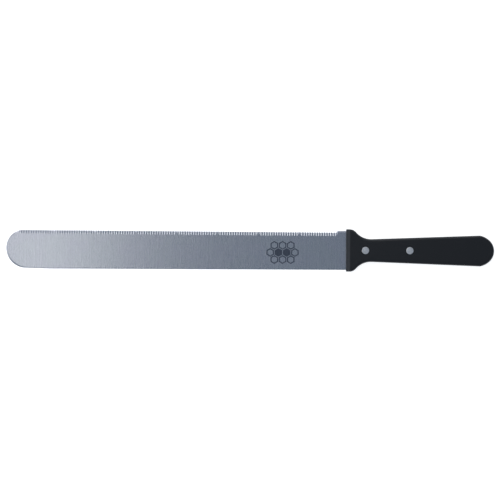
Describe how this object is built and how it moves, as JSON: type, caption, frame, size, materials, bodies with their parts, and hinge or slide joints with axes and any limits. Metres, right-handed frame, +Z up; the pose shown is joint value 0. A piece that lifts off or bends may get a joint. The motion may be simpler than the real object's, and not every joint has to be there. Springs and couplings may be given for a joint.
{
  "type": "uncapping knife",
  "caption": "Uncapping knife: a long, wide, round-tipped steel blade with a finely fluted edge and a plain back, held between riveted black handle scales.",
  "frame": {"origin": "under the middle of the knife as it lies on a table: middle of the length and width, at the underside of the handle", "axes": "+X from the blade's tip to the handle's tail, +Y towards the toothed edge, +Z up through the thickness, out of the fluted side of the blade"},
  "size_m": [0.4448, 0.0386, 0.015],
  "materials": {
    "blade_steel": "ground across the blade, satin",
    "handle_plastic": "hard moulded black plastic, fine satin",
    "rivet_metal": "ground flush with the handle"
  },
  "bodies": {
    "root": {"blade": "blade_steel", "upper_scale": "handle_plastic", "lower_scale": "handle_plastic", "front_rivet_sleeve": "rivet_metal", "front_rivet_pin": "rivet_metal", "rear_rivet_sleeve": "rivet_metal", "rear_rivet_pin": "rivet_metal"}
  },
  "joints": []
}
